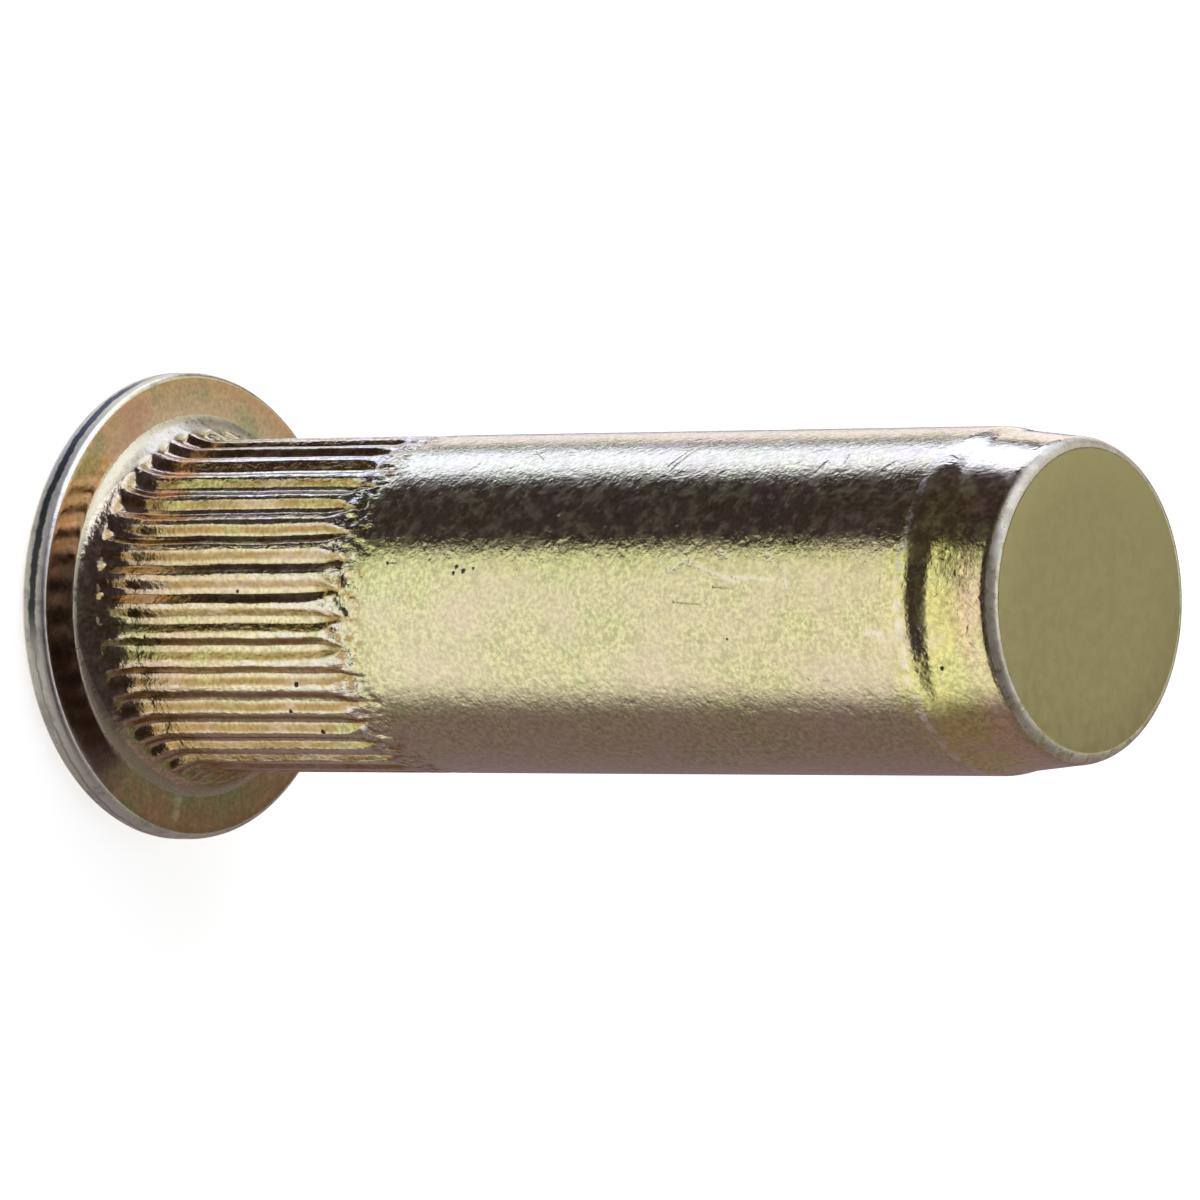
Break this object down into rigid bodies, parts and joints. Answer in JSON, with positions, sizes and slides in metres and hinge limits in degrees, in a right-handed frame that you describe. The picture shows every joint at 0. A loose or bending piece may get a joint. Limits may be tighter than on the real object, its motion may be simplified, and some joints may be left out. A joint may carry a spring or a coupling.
{
  "type": "rivet nut",
  "caption": "Closed-end steel rivet nut with a flat round head, straight ribs under the head, a plain round shank and a blind threaded bore that opens in the head.",
  "frame": {"origin": "centre of the head's outer face, on the axis; the nut stands on that face", "axes": "+Z along the axis, from the head to the closed end; X and Y are level, and a rib crest lies on +X"},
  "size_m": [0.0154, 0.0154, 0.0378],
  "materials": {
    "yellow_zinc_plating": "yellow-chromate zinc plating, satin, with a faint green and pink bloom"
  },
  "bodies": {
    "root": {"rivet_nut": "yellow_zinc_plating"}
  },
  "joints": []
}
